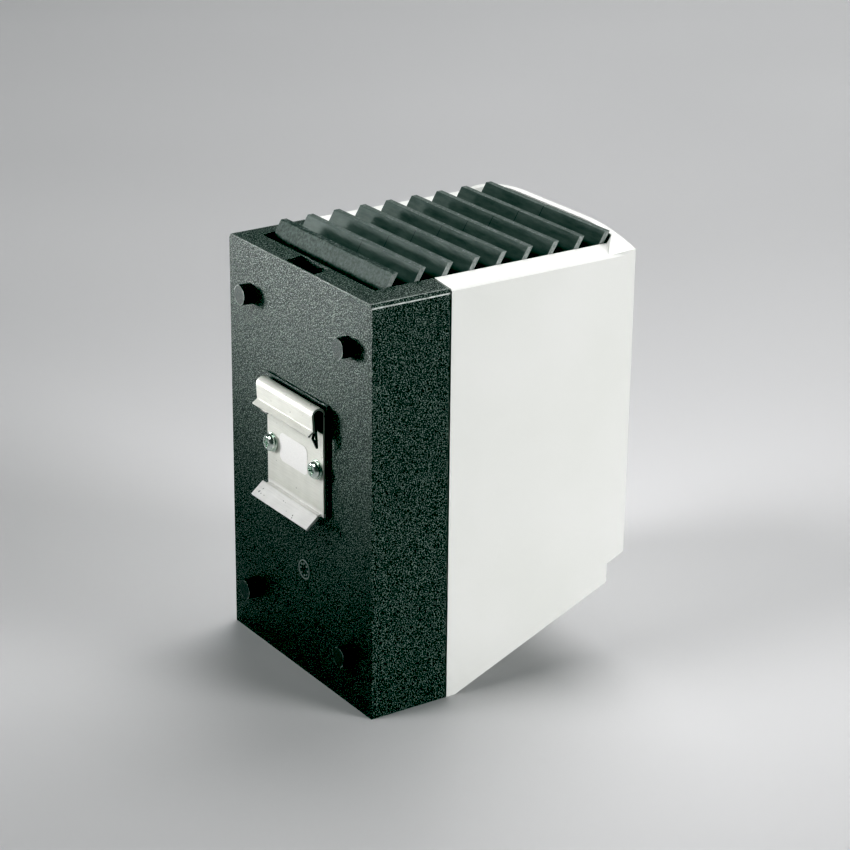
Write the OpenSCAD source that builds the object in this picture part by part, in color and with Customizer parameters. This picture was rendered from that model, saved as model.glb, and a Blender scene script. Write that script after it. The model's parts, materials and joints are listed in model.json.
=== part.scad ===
// Compact enclosure heater for a 35 mm top-hat rail.
// A black base and a light hood enclose a fan, an air duct and a finned heating register.
// Frame: origin on the clip plate's outer face at the middle of the rail, +Z up, front at -Y.

/* [Housing] */
// Width of base and hood
body_w = 102; // [94:1:130]
// Height of the rear face
body_h = 165; // [155:1:200]
// Depth from the rear face to the front face
body_d = 118; // [112:1:150]
// Depth of the base, from its rear face to the seam
base_d = 33.5; // [28:0.5:45]
// Wall thickness of base and hood
wall = 2.4; // [1.8:0.1:3]
// Width of the seam between base and hood
seam_gap = 0.6; // [0.2:0.1:1]
// Level foot of the hood between the seam and its slope
foot_l = 4.5; // [3:0.5:8]
// Height at which the sloped underside ends
slope_h = 29.5; // [22:0.5:34]
// Set-back of the step at the front of the underside
step_in = 8; // [5:0.5:12]
// Height of the step's upright face
step_h = 8; // [5:0.5:12]
// Rise of the step's ledge up to the front face
step_rise = 3.5; // [1:0.5:6]
// Rise of the roof from the outer edges to the outlet
roof_rise = 1.2; // [0.6:0.1:2.4]
// Height of the front brow above the rear face
brow_h = 6; // [4:0.5:9]
// Half width of the level part of the brow
brow_flat = 20; // [12:1:34]
// Chamfer along the base's upper side edges
edge_chamfer = 1.4; // [0.6:0.1:2]

/* [Air outlet] */
// Width of the outlet in the roof
outlet_w = 79; // [70:1:84]
// Roof strip left behind the outlet
rear_strip = 8.5; // [8:0.1:14]
// Roof strip left in front of the outlet
front_strip = 3; // [3:0.5:8]
// Number of louvre blades
blade_count = 9; // [5:1:11]
// Thickness of a blade
blade_t = 2.1; // [1.4:0.1:2.6]
// Lean of the blades towards the front, in degrees
blade_lean = 31; // [20:1:38]
// Depth of a blade below its upper edge
blade_drop = 15.2; // [13:0.1:18]
// Distance from the outlet's rear edge to the first blade's upper edge
first_blade = 7.7; // [7:0.1:12]
// Distance from the last blade's upper edge to the outlet's front edge
last_blade = 2.9; // [2.8:0.1:6]
// Height of the grille's side rails
rail_h = 6; // [4:0.5:8]
// Width of the grille's side rails
rail_w = 2; // [1.4:0.1:3]

/* [Air inlet] */
// Number of inlet slots in the sloped underside
slot_count = 11; // [7:2:13]
// Width of an inlet slot
slot_w = 3.4; // [2.4:0.2:4.4]
// Spacing of the inlet slots
slot_pitch = 6.8; // [6:0.2:7.4]
// Length of an inlet slot
slot_l = 29; // [20:1:32]
// Cross bar between the two rows of slots
slot_bar = 5; // [4:0.5:8]

/* [Rear face] */
// Diameter of the spacer pegs
peg_d = 8; // [6:0.5:10]
// Length of the spacer pegs
peg_l = 5; // [3:0.5:7]
// Spacing of the pegs across the width
peg_w = 70.6; // [60:0.2:80]
// Height of the lower pegs
peg_low = 21; // [14:1:30]
// Height of the upper pegs
peg_high = 145; // [136:1:146]
// Width of the release pocket
pocket_w = 20; // [14:1:26]
// Depth of the release pocket below the roof
pocket_h = 13; // [10:0.5:14]
// Skin left behind the release pocket
pocket_skin = 0.9; // [0.8:0.1:1.4]
// Wall around the release pocket
pocket_wall = 1.5; // [1.2:0.1:1.8]

/* [Rail clip] */
// Height of the rail, edge to edge
din_rail = 35; // [35:0.5:40]
// Height of the rail's middle above the foot
rail_z = 90.7; // [84:0.1:96]
// Width of the clip
clip_w = 41; // [36:1:50]
// Sheet thickness of the clip
clip_t = 1; // [0.8:0.1:1.4]
// Thickness of the moulded pad behind the clip
pad_t = 1; // [0.6:0.1:1.4]
// Margin of the pad around the clip
pad_margin = 1.5; // [1:0.5:4]
// Overlap of the upper jaw over the rail's edge
jaw_overlap = 2; // [1.4:0.1:3]
// Room above the rail for lifting it out of the lower seat
lift_room = 7.6; // [6.5:0.1:9]
// Inner radius of the rolled jaw
roll_r = 1.9; // [1.6:0.1:2.4]
// Outward kick of the jaw's tip
jaw_kick = 2.3; // [1:0.1:3]
// Depth of the seat for the rail's lower edge
seat_d = 2.2; // [1.6:0.1:3]
// Reach of the lower lip beyond its seat
lip_d = 5; // [3:0.5:7]
// Drop of the lower lip over its reach
lip_drop = 3.7; // [2:0.1:5]
// Diameter of the spring wire
wire_d = 1; // [0.8:0.1:1.2]
// Spacing of the two clip screws
screw_span = 32.8; // [28:0.2:33]
// Thread diameter of the clip screws
screw_d = 3.9; // [3:0.1:4.2]
// Head diameter of the clip screws
head_d = 7; // [6:0.2:7.6]
// Head height of the clip screws
head_h = 2.1; // [1.8:0.1:3]
// Outside diameter of the clip washers
washer_d = 7.8; // [7.6:0.2:9.4]
// Thickness of the clip washers
washer_t = 0.8; // [0.5:0.1:1.2]

/* [Fan] */
// Side of the square fan frame
fan_side = 80; // [72:1:82]
// Thickness of the fan frame
fan_h = 25; // [24:0.5:28]
// Thinnest wall of the fan frame around its air passage
fan_rim = 1.8; // [1.5:0.1:3]
// Distance of the fan's corner holes from its sides
fan_hole_inset = 4.25; // [4:0.05:5]
// Number of fan blades
fan_blades = 7; // [5:2:9]
// Running gap at the blade tips
tip_gap = 0.9; // [0.6:0.1:1.5]
// Outer radius of the fan hub
hub_r = 18; // [17:0.5:20]
// Radius of the fan shaft
shaft_r = 1.5; // [1.4:0.1:1.8]
// Radial clearance of the shaft in its bearings
shaft_gap = 0.02; // [0.01:0.01:0.05]

/* [Heating register] */
// Height of the heating register along the air flow
heat_h = 26; // [18:1:32]
// Width of a heating bar
bar_w = 8; // [6:0.5:10]
// Width of the middle fin pack
mid_pack_w = 26; // [20:1:28]
// Thickness of the folded fin strip
fin_t = 0.5; // [0.4:0.1:0.8]
// Number of folds in a fin pack
fin_folds = 22; // [14:2:26]
// Thickness of the register's end caps
cap_t = 4; // [3:0.5:5]
// Gap between the fan and the register
fan_to_heat = 23; // [20:1:30]

/* [Connection] */
// Bore of the cable grommet
cable_d = 8; // [6:0.5:9]
// Distance of the cable entry from the rear face
cable_from_rear = 15; // [14:0.5:16]

/* [Hidden] */
$fn = 64;

// Colours
black_plastic = [0.09, 0.10, 0.10];
grey_plastic = [0.88, 0.89, 0.87];
grille_plastic = [0.13, 0.15, 0.15];
pale_steel = [0.82, 0.82, 0.79];
zinc = [0.72, 0.75, 0.72];
dark_part = [0.05, 0.05, 0.06];
amber_part = [0.80, 0.62, 0.34];
aluminium_grey = [0.75, 0.76, 0.78];
copper = [0.76, 0.42, 0.22];
green_board = [0.10, 0.32, 0.18];
ivory = [0.90, 0.87, 0.78];

// Shared clearances: sliding parts, seats, tight fits and screw holes, then the overlaps of joins and cuts
slip = 0.2;
seat_gap = 0.1;
tight = 0.05;
hole_gap = 0.2;
join = 0.2;
cut = 1;

// Pan heads, as shares of their height or diameter
head_rim = 0.4;
head_bend = 0.46;
head_crown = 0.37;
head_slot = 0.28;
head_slit = 0.08;

// Housing
half_w = body_w / 2;
inner_half = half_w - wall;
foot_d = base_d + foot_l;
hood_d = base_d + seam_gap;
step_d = body_d - step_in;
step_top = slope_h + step_h;
nose_z = step_top + step_rise;
roof_z = body_h + roof_rise;
ridge_z = body_h + brow_h;
outlet_half = outlet_w / 2;
outlet_d0 = rear_strip;
outlet_d1 = body_d - front_strip;
brow_side = 1;
brow_drop = brow_h - brow_side;
brow_steps = 7;
brow_ramp = 2;
brow_fade = 9;
fold_d = 13;

// Collar that hangs below the outlet's edge and carries the grille
collar_t = 1.5;
collar_h = 12;
ledge_t = 1.5;
ledge_w = 2;
ledge_z = body_h - collar_h + ledge_t;

// Tongue of the hood inside the base
tongue_t = 1.4;
tongue_l = 3;
tongue_root = 3;

// Release notch on the seam
notch_d = 1.4;
notch_z = 28.7;

// Release pocket
pocket_lip = 0.6;
pocket_d1 = outlet_d0 - pocket_wall + pocket_lip;
pocket_z = body_h - pocket_h;
latch_w = 12;
latch_z0 = ledge_z + slip;
latch_t = 2.8;
latch_z1 = latch_z0 + latch_t;
latch_reach = 0.6;

// Blades
grille_gap = 0.3;
blade_top = ridge_z - grille_gap;
blade_d0 = outlet_d0 + first_blade;
blade_pitch = (outlet_d1 - last_blade - blade_d0) / (blade_count - 1);
blade_half = outlet_half - grille_gap;
grille_d0 = outlet_d0 + pocket_lip + grille_gap;
grille_d1 = outlet_d1 - grille_gap;
grille_bar = 2;
first_drop = 11.2;

// Clip, with depths counted towards the rear as negative values
plate_in = -pad_t;
plate_out = -(pad_t + clip_t);
seat_z = rail_z - din_rail / 2;
rail_top = rail_z + din_rail / 2;
jaw_tip_z = rail_top - jaw_overlap;
roll_out = roll_r + clip_t;
roll_z = rail_top + lift_room - roll_r;
roll_c = plate_out - roll_r;
jaw_lean = 0.4;
jaw_out = roll_c - roll_out + jaw_lean;
jaw_in = jaw_out + clip_t;
kick_h = 1.9;
kick_z = jaw_tip_z + kick_h;
seat_lip = 0.4;
lip_d0 = plate_out - seat_d;
lip_d1 = lip_d0 - lip_d;
notch_w = 1.6;
pad_over = 0.8;
clip_hole_d = screw_d + 2 * hole_gap;
hook_drop = 5;
hook_reach = 1.8;
hook_l = 4;
hook_d = jaw_in + jaw_lean + wire_d / 2;

// Screw bosses in the base
boss_r = 4;
boss_l = 11;
screw_l = 10;

// Fan and air duct
duct_wall = 2;
duct_to_front = 1.9;
duct_over_ledge = 3;
duct_in = fan_side / 2 + slip;
duct_out = duct_in + duct_wall;
duct_front = body_d - wall - duct_to_front;
axis_d = duct_front - duct_out;
duct_rear = axis_d - duct_out;
slope_run = step_d - foot_d;
ledge_slope = step_rise / step_in;
ledge_wall = wall * sqrt(1 + ledge_slope * ledge_slope);
duct_z0 = step_top + ledge_wall + (duct_front - step_d) * ledge_slope + seat_gap;
flange_t = 2;
fan_z0 = duct_z0 + flange_t;
fan_z1 = fan_z0 + fan_h;
duct_z1 = ledge_z - ledge_t - duct_over_ledge;
fan_bore = fan_side - 2 * fan_rim;
fan_hole_span = fan_side - 2 * fan_hole_inset;
fan_corner_r = 4;
fan_screw_d = 4;
fan_screw_head_d = 7.5;
fan_screw_head_h = 2.4;

// Posts on the base that carry the duct
post_r = 4.2;
post_x = 30;
post_over_fan = 8;
post_below_top = 12;
post_low = fan_z1 + post_over_fan;
post_high = duct_z1 - post_below_top;
post_screw_d = 3;
post_screw_head_d = 5.6;
post_screw_head_h = 2;
post_screw_l = 10;

// Motor, measured from the fan's intake face upwards
base_plate_t = 2.4;
motor_z1 = fan_z1 - base_plate_t;
bearing_t = 2;
tube_t = 1.1;
tube_inset = 8;
tube_in = shaft_r + bearing_t;
tube_out = tube_in + tube_t;
tube_z0 = fan_z0 + tube_inset;
tube_cap_t = 1;
bearing_l = 3;
bearing_inset = 1.2;
hub_inset = 2.5;
hub_z0 = fan_z0 + hub_inset;
hub_skin = 1.8;
hub_z1 = fan_z1 - 2 * hub_inset;
yoke_r = hub_r - hub_skin - tight;
yoke_t = 1;
magnet_r = yoke_r - yoke_t - tight;
magnet_t = 1.6;
air_gap = 0.7;
stator_r = magnet_r - magnet_t - air_gap;
stator_inset = 2;
stator_z0 = tube_z0 + stator_inset;
stator_z1 = fan_z1 - tube_inset;
stator_core_r = stator_r / 2;
tooth_w = 3.2;
shoe_t = 2;
shoe_w = stator_r * 1.2;
coil_w = 6.8;
coil_margin = 1.2;
board_gap = 0.8;
board_z0 = stator_z1 + coil_margin + board_gap;
board_t = 1.2;
strut_w = 4;
fan_tip = fan_bore / 2 - tip_gap;
vane_z0 = hub_z0 + hub_inset;
vane_h = 13;
vane_t = 1.5;
vane_twist = 34;
vane_root = 0.5;
clip_ring_t = 0.7;
clip_ring_w = 1.2;
clip_ring_gap = 0.15;
sleeve_t = 1.5;
sleeve_gap = 0.3;
yoke_plate_t = 0.8;
yoke_inset = 0.5;
shaft_inset = 0.4;

// Heating register
heat_z0 = fan_z1 + fan_to_heat;
heat_z1 = heat_z0 + heat_h;
heat_zc = (heat_z0 + heat_z1) / 2;
cap_gap = 0.3;
heat_d0 = duct_rear + duct_wall + cap_gap;
heat_d1 = duct_front - duct_wall - cap_gap;
bar_x = mid_pack_w / 2 + bar_w / 2;
side_pack_x0 = mid_pack_w / 2 + bar_w;
pack_gap = 0.8;
side_pack_x1 = duct_in - pack_gap;
side_strip_t = 0.8;
cap_grip = 1.2;
cap_window = 4;
bar_wall = 2;
stone_t = 2.4;
heat_ledge_w = 3;
heat_ledge_t = 2.4;
tab_w = 6.3;
tab_t = 0.8;
tab_l = 9;
tab_window = 10;

// Connection
grommet_r = cable_d / 2;
grommet_t = 2;
grommet_flange_w = 2.2;
grommet_neck_r = grommet_r + grommet_t;
grommet_flange_r = grommet_neck_r + grommet_flange_w;
grommet_flange_t = 2;
grommet_inset = 0.3;
grommet_lip = 0.6;
entry_z = grommet_flange_t + 2 * grommet_inset;
block_w = 32;
block_h = 20;
block_t = 14;
block_z0 = 24;
pole_pitch = 9.6;
pole_screw_d = 3.9;
pole_sink = 1.5;
pole_slot = 0.9;
pole_rib = 1.4;
entry_r = 1.9;
lead_d = wall + block_t * 0.45;
lead_r = 1.1;
fan_lead_r = 0.6;
cutout_r = 8;
cutout_t = 7;
cutout_z = (heat_z1 + duct_z1) / 2;
cutout_plate_w = 26;
cutout_plate_h = 10;
cutout_plate_t = 1;
cutout_screw_x = 10.4;
cutout_screw_d = 2.5;
cutout_screw_l = 5;
cutout_head_d = 4.4;
cutout_head_h = 1.6;
cutout_tab_l = 6;

// Moves a part from housing measures to the clip's frame
module place() translate([0, plate_out, -rail_z]) children();

// Box from ranges across the width, along the depth and in height
module block(xs, ds, zs)
    translate([xs[0], -ds[1], zs[0]]) cube([xs[1] - xs[0], ds[1] - ds[0], zs[1] - zs[0]]);

// Round rod along the depth, at a place on the rear face
module rod(x, z, ds, r)
    translate([x, -ds[0], z]) rotate([90, 0, 0]) cylinder(h = ds[1] - ds[0], r = r);

// Profile of depth and height, run across the width
module across(xs, points)
    translate([xs[0], 0, 0]) rotate([90, 0, 90]) linear_extrude(xs[1] - xs[0])
        polygon([for (p = points) [-p[0], p[1]]]);

// Profile of width and height, run along the depth
module along(ds, points)
    translate([0, -ds[0], 0]) rotate([90, 0, 0]) linear_extrude(ds[1] - ds[0]) polygon(points);

// Upright axis of the fan
module at_fan_axis() translate([0, -axis_d, 0]) children();

// Ring standing on the fan's axis
module ring(r_out, r_in, zs)
    at_fan_axis() translate([0, 0, zs[0]]) difference() {
        cylinder(h = zs[1] - zs[0], r = r_out);
        translate([0, 0, -cut]) cylinder(h = zs[1] - zs[0] + 2 * cut, r = r_in);
    }

// Round wire through a list of points given as width, depth and height
function spot(p) = [p[0], -p[1], p[2]];
module wire(points, r)
    for (i = [0 : len(points) - 2]) hull() {
        translate(spot(points[i])) sphere(r = r, $fn = 12);
        translate(spot(points[i + 1])) sphere(r = r, $fn = 12);
    }

// Pan-head screw along the depth, with its head towards the rear or the front
module pan_screw(x, z, head_face, shank_l, shank_d, top_d, top_h, way) {
    rim_h = top_h * head_rim;
    dome_h = top_h - rim_h;
    slot = top_d * head_slot;
    slit = top_d * head_slit;
    translate([x, -head_face, z]) rotate([way > 0 ? -90 : 90, 0, 0]) difference() {
        union() {
            translate([0, 0, -shank_l]) cylinder(h = shank_l + join, r = shank_d / 2);
            cylinder(h = rim_h, r = top_d / 2);
            translate([0, 0, rim_h]) cylinder(h = dome_h / 2, r1 = top_d / 2, r2 = top_d * head_bend);
            translate([0, 0, rim_h + dome_h / 2])
                cylinder(h = dome_h / 2, r1 = top_d * head_bend, r2 = top_d * head_crown);
        }
        for (turn = [0, 90]) rotate(turn)
            translate([-slot, -slit, top_h / 2]) cube([2 * slot, 2 * slit, top_h]);
    }
}

// Both sides of the width
module both() {
    children();
    mirror([1, 0, 0]) children();
}

// Brow height over the width: level in the middle, falling as a parabola to the side edges
function brow_z(x) = ridge_z - brow_drop * pow(max(0, abs(x) - brow_flat) / (half_w - brow_flat), 2);
brow_xs = [for (i = [0 : brow_steps]) brow_flat + (half_w - brow_flat) * i / brow_steps];

// Height of the hood's sloped underside at a depth
function slope_z(d) = (d - foot_d) * slope_h / slope_run;
slope_angle = atan2(slope_h, slope_run);
slope_wall = wall / cos(slope_angle);
function slope_d(z) = foot_d + z * slope_run / slope_h;

// Base

rear_section = [[-half_w, 0], [half_w, 0], [half_w, body_h - edge_chamfer],
                [half_w - edge_chamfer, body_h], [edge_chamfer - half_w, body_h],
                [-half_w, body_h - edge_chamfer]];
seam_section = [[-half_w, 0], [half_w, 0], [half_w, body_h - edge_chamfer / 2],
                [half_w - edge_chamfer / 2, body_h], [outlet_half, roof_z], [-outlet_half, roof_z],
                [edge_chamfer / 2 - half_w, body_h], [-half_w, body_h - edge_chamfer / 2]];
slice_t = 0.02;

// Flange below the outlet's side edge, with the ledge that carries the grille
module collar(ds) {
    block([outlet_half, outlet_half + collar_t], ds, [body_h - collar_h, body_h]);
    block([outlet_half - ledge_w, outlet_half + collar_t], ds, [body_h - collar_h, ledge_z]);
}

module pocket_shell()
    block([-pocket_w / 2 - pocket_wall, pocket_w / 2 + pocket_wall], [wall - join, outlet_d0 + pocket_lip],
          [pocket_z - pocket_wall, body_h - wall / 2]);

module base_posts()
    both() for (z = [post_low, post_high]) rod(post_x, z, [wall - join, duct_rear], post_r);

module base_housing() color(black_plastic) place() difference() {
    union() {
        difference() {
            hull() {
                along([0, slice_t], rear_section);
                along([base_d - slice_t, base_d], seam_section);
                both() block([outlet_half - collar_t, outlet_half], [fold_d, base_d], [body_h, roof_z]);
            }
            block([-inner_half, inner_half], [wall, base_d + cut], [wall, body_h - wall]);
            block([-outlet_half, outlet_half], [outlet_d0, base_d + cut], [body_h - 2 * wall, roof_z + cut]);
        }
        both() collar([wall - join, base_d]);
        pocket_shell();
        base_posts();
        both() rod(screw_span / 2, rail_z, [wall - join, boss_l], boss_r);
        both() for (z = [peg_low, peg_high]) rod(peg_w / 2, z, [-peg_l, join], peg_d / 2);
        block([-clip_w / 2 - pad_margin, clip_w / 2 + pad_margin], [-pad_t, join],
              [seat_z - pad_over, roll_z + roll_out + pad_over]);
        translate([0, -cable_from_rear, wall - join]) cylinder(h = entry_z, r = grommet_flange_r + wall);
    }
    block([-pocket_w / 2, pocket_w / 2], [pocket_skin, pocket_d1], [pocket_z, body_h + cut]);
    block([-latch_w / 2 - slip, latch_w / 2 + slip], [pocket_d1 - cut, outlet_d0 + cut],
          [latch_z0 - slip, latch_z1 + slip]);
    both() rod(screw_span / 2, rail_z, [-pad_t - cut, boss_l + cut], screw_d / 2 + tight);
    both() for (z = [post_low, post_high])
        rod(post_x, z, [duct_rear - post_screw_l, duct_rear + cut], post_screw_d / 2 + tight);
    translate([0, -cable_from_rear, -cut]) cylinder(h = entry_z + cut, r = grommet_flange_r + slip);
    translate([0, -cable_from_rear, 0]) cylinder(h = entry_z + 2 * wall, r = grommet_neck_r + tight);
}

// Hood

hood_outline = [[hood_d, 0], [foot_d, 0], [step_d, slope_h], [step_d, step_top], [body_d, nose_z],
                [body_d, body_h - edge_chamfer / 2], [hood_d, body_h - edge_chamfer / 2]];
hood_cavity = [[base_d - cut, wall], [slope_d(wall - slope_wall), wall],
               [step_d - wall, slope_z(step_d - wall) + slope_wall],
               [step_d - wall, step_top + ledge_wall - wall * ledge_slope],
               [body_d - wall, step_top + ledge_wall + (step_in - wall) * ledge_slope],
               [body_d - wall, body_h - wall], [base_d - cut, body_h - wall]];
roof_section = [[-half_w, body_h - wall], [half_w, body_h - wall], [half_w, body_h - edge_chamfer / 2],
                [half_w - edge_chamfer / 2, body_h], [outlet_half, roof_z], [-outlet_half, roof_z],
                [edge_chamfer / 2 - half_w, body_h], [-half_w, body_h - edge_chamfer / 2]];
brow_section = concat([[-half_w, body_h - wall], [half_w, body_h - wall]],
                      [for (i = [brow_steps : -1 : 0]) [brow_xs[i], brow_z(brow_xs[i])]],
                      [for (x = brow_xs) [-x, brow_z(x)]]);
corner_brow = concat([[outlet_half, body_h - wall], [half_w, body_h - wall]],
                     [for (i = [brow_steps : -1 : 0]) if (brow_xs[i] >= outlet_half)
                          [brow_xs[i], brow_z(brow_xs[i])]],
                     [[outlet_half, brow_z(outlet_half)]]);

// Inlet slots, cut square to the sloped underside
module inlet_slots() {
    middle = (foot_d + step_d) / 2;
    for (i = [0 : slot_count - 1], row = [-1, 1])
        translate([(i - (slot_count - 1) / 2) * slot_pitch, -middle, slope_z(middle)])
            rotate([-slope_angle, 0, 0])
                translate([-slot_w / 2, row * (slot_l + slot_bar) / 2 - slot_l / 2, -cut])
                    cube([slot_w, slot_l, wall + 2 * cut]);
}

// Tongue that slips inside the base along its sides and floor
module tongue() {
    outer = inner_half - slip;
    ds = [base_d - tongue_l, base_d + tongue_root];
    top = body_h - collar_h - tongue_root;
    both() {
        block([outer - tongue_t, outer], ds, [wall + slip, top]);
        block([outer - tongue_t, inner_half + join], [base_d, base_d + tongue_root], [wall + slip, top]);
    }
    block([-outer, outer], ds, [wall + slip, wall + slip + tongue_t]);
    block([-outer, outer], [base_d, base_d + tongue_root], [wall - join, wall + slip + tongue_t]);
}

module front_hood() color(grey_plastic) place() difference() {
    union() {
        difference() {
            union() {
                across([-half_w, half_w], hood_outline);
                along([hood_d, outlet_d1], roof_section);
                along([outlet_d1, body_d], brow_section);
                both() hull() {
                    block([outlet_half, outlet_half + slice_t], [outlet_d1 - brow_ramp, outlet_d1],
                          [body_h - wall, roof_z]);
                    block([half_w - edge_chamfer, half_w - edge_chamfer + slice_t],
                          [outlet_d1 - brow_fade, outlet_d1], [body_h - wall, body_h]);
                    along([outlet_d1, outlet_d1 + slice_t], corner_brow);
                }
            }
            across([-inner_half, inner_half], hood_cavity);
            block([-outlet_half, outlet_half], [base_d - cut, outlet_d1], [body_h - 2 * wall, ridge_z + cut]);
            inlet_slots();
        }
        both() collar([hood_d, body_d - wall + join]);
        tongue();
    }
    both() translate([half_w - notch_d, -base_d, notch_z]) rotate([0, 90, 0])
        cylinder(h = 2 * notch_d, r = notch_d / 2);
}

// Louvre grille

// Corners of one blade in depth and height, level above and below, from its upper rear edge
blade_level = [blade_t / cos(blade_lean), 0];
function blade_profile(d, drop) =
    let (end = [d - drop * tan(blade_lean), blade_top - drop])
    [[d, blade_top], end, end + blade_level, [d, blade_top] + blade_level];

module outlet_grille() color(grille_plastic) place() {
    for (i = [0 : blade_count - 1]) {
        d = blade_d0 + i * blade_pitch;
        drop = i == 0 ? first_drop : blade_drop;
        across([-blade_half, blade_half], blade_profile(d, drop));
    }
    rail_zs = [ledge_z, ledge_z + rail_h];
    both() block([blade_half - rail_w, blade_half], [grille_d0, grille_d1], rail_zs);
    block([-rail_w / 2, rail_w / 2], [grille_d0, grille_d1], rail_zs);
    block([-blade_half, blade_half], [grille_d0, grille_d0 + grille_bar],
          [ledge_z, blade_top - first_drop + join]);
    block([-blade_half, blade_half], [grille_d1 - grille_bar, grille_d1], rail_zs);
    block([-latch_w / 2, latch_w / 2], [pocket_d1 - latch_reach, grille_d0 + grille_bar],
          [latch_z0, latch_z1]);
}

// Rail clip

// Rolled top of the clip, open below between the plate and the jaw
module clip_roll() difference() {
    translate([-clip_w / 2, -roll_c, roll_z]) rotate([0, 90, 0]) cylinder(h = clip_w, r = roll_out);
    translate([-clip_w / 2 - cut, -roll_c, roll_z]) rotate([0, 90, 0])
        cylinder(h = clip_w + 2 * cut, r = roll_r);
    block([-clip_w / 2 - cut, clip_w / 2 + cut], [roll_c - 2 * roll_out, roll_c + 2 * roll_out],
          [roll_z - 2 * roll_out, roll_z]);
}

jaw_profile = [[roll_c - roll_out, roll_z], [jaw_out, kick_z], [jaw_out - jaw_kick, jaw_tip_z + clip_t * 0.4],
               [jaw_out - jaw_kick + clip_t * 0.55, jaw_tip_z - clip_t * 0.25],
               [jaw_in, kick_z - clip_t * 0.7], [roll_c - roll_r, roll_z]];
lip_profile = [[plate_in, seat_z], [plate_in, seat_z - clip_t], [lip_d0, seat_z - clip_t],
               [lip_d1, seat_z - clip_t - lip_drop],
               [lip_d1 - clip_t * 0.5, seat_z - lip_drop - clip_t * 0.2],
               [lip_d0 - seat_lip, seat_z + seat_lip], [lip_d0, seat_z + seat_lip],
               [lip_d0 + seat_lip, seat_z]];

module rail_clip() color(pale_steel) place() difference() {
    union() {
        block([-clip_w / 2, clip_w / 2], [plate_out, plate_in], [seat_z - clip_t, roll_z]);
        clip_roll();
        across([-clip_w / 2, clip_w / 2], jaw_profile);
        across([-clip_w / 2, clip_w / 2], lip_profile);
    }
    both() rod(screw_span / 2, rail_z, [plate_out - cut, plate_in + cut], clip_hole_d / 2);
    both() block([clip_w / 2 - notch_w, clip_w / 2 + cut], [lip_d0, plate_out],
                 [seat_z - 2 * clip_t, seat_z + clip_t]);
}

// Spring wire that lies in the roll, with both ends bent below the jaw, clear of the rail
spring_d = roll_c - roll_r + wire_d / 2 + seat_gap;
spring_z = roll_z;
spring_end = clip_w / 2 - wire_d / 2;
bend_z = jaw_tip_z - hook_drop;
under_z = jaw_tip_z - wire_d;

module clip_spring() color(zinc) place()
    wire([[2 * wire_d - spring_end, hook_d, under_z + wire_d / 2],
          [-spring_end, hook_d - hook_reach, under_z],
          [-spring_end, hook_d, bend_z],
          [-spring_end, spring_d, spring_z],
          [spring_end, spring_d, spring_z],
          [spring_end, hook_d, bend_z + hook_reach],
          [spring_end - hook_l, hook_d, bend_z + hook_reach]], wire_d / 2);

module clip_screws() color(zinc) place() both()
    pan_screw(screw_span / 2, rail_z, plate_out - washer_t, screw_l, screw_d, head_d, head_h, 1);

module clip_washers() color(zinc) place() both() difference() {
    rod(screw_span / 2, rail_z, [plate_out - washer_t, plate_out], washer_d / 2);
    rod(screw_span / 2, rail_z, [plate_out - washer_t - cut, plate_out + cut], clip_hole_d / 2);
}

// Connection

module cable_grommet() color(dark_part) place() translate([0, -cable_from_rear, 0]) rotate_extrude()
    polygon([[grommet_r, grommet_inset], [grommet_flange_r - grommet_lip, grommet_inset],
             [grommet_flange_r, grommet_inset + grommet_lip], [grommet_flange_r, entry_z],
             [grommet_neck_r, entry_z], [grommet_neck_r, entry_z + wall],
             [grommet_neck_r + 2 * grommet_lip, entry_z + wall],
             [grommet_neck_r + grommet_lip, entry_z + 2 * wall], [grommet_r, entry_z + 2 * wall]]);

pole_xs = [-pole_pitch, 0, pole_pitch];
block_ds = [wall, wall + block_t];
pole_zs = [block_z0 + block_h * 0.28, block_z0 + block_h * 0.72];

module terminal_block() color(ivory) place() difference() {
    union() {
        block([-block_w / 2, block_w / 2], block_ds, [block_z0, block_z0 + block_h]);
        for (x = [-1.5, -0.5, 0.5, 1.5] * pole_pitch)
            block([x - pole_rib / 2, x + pole_rib / 2], block_ds + [0, pole_rib],
                  [block_z0 + pole_rib, block_z0 + block_h - pole_rib]);
    }
    for (x = pole_xs) {
        translate([x, -lead_d, block_z0 - cut]) cylinder(h = block_h + 2 * cut, r = entry_r);
        for (z = pole_zs) rod(x, z, [lead_d, wall + block_t + cut], pole_screw_d / 2 + tight);
    }
}

module terminal_screws() color(zinc) place() for (x = pole_xs, z = pole_zs) difference() {
    rod(x, z, [lead_d, wall + block_t - pole_sink], pole_screw_d / 2);
    block([x - pole_screw_d, x + pole_screw_d], [wall + block_t - pole_sink - pole_slot, wall + block_t],
          [z - pole_slot / 2, z + pole_slot / 2]);
}

// Air duct that carries fan and heating register

duct_tab_zs = [heat_zc - tab_window / 2, heat_zc + tab_window / 2];
lead_hole = 8;
fan_lead_z = fan_z1 + lead_hole / 4 + seat_gap;

module heat_ledges() both() block([duct_in - heat_ledge_w, duct_in + join],
        [duct_rear + join, duct_front - join], [heat_z0 - heat_ledge_t, heat_z0 - seat_gap]);

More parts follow.
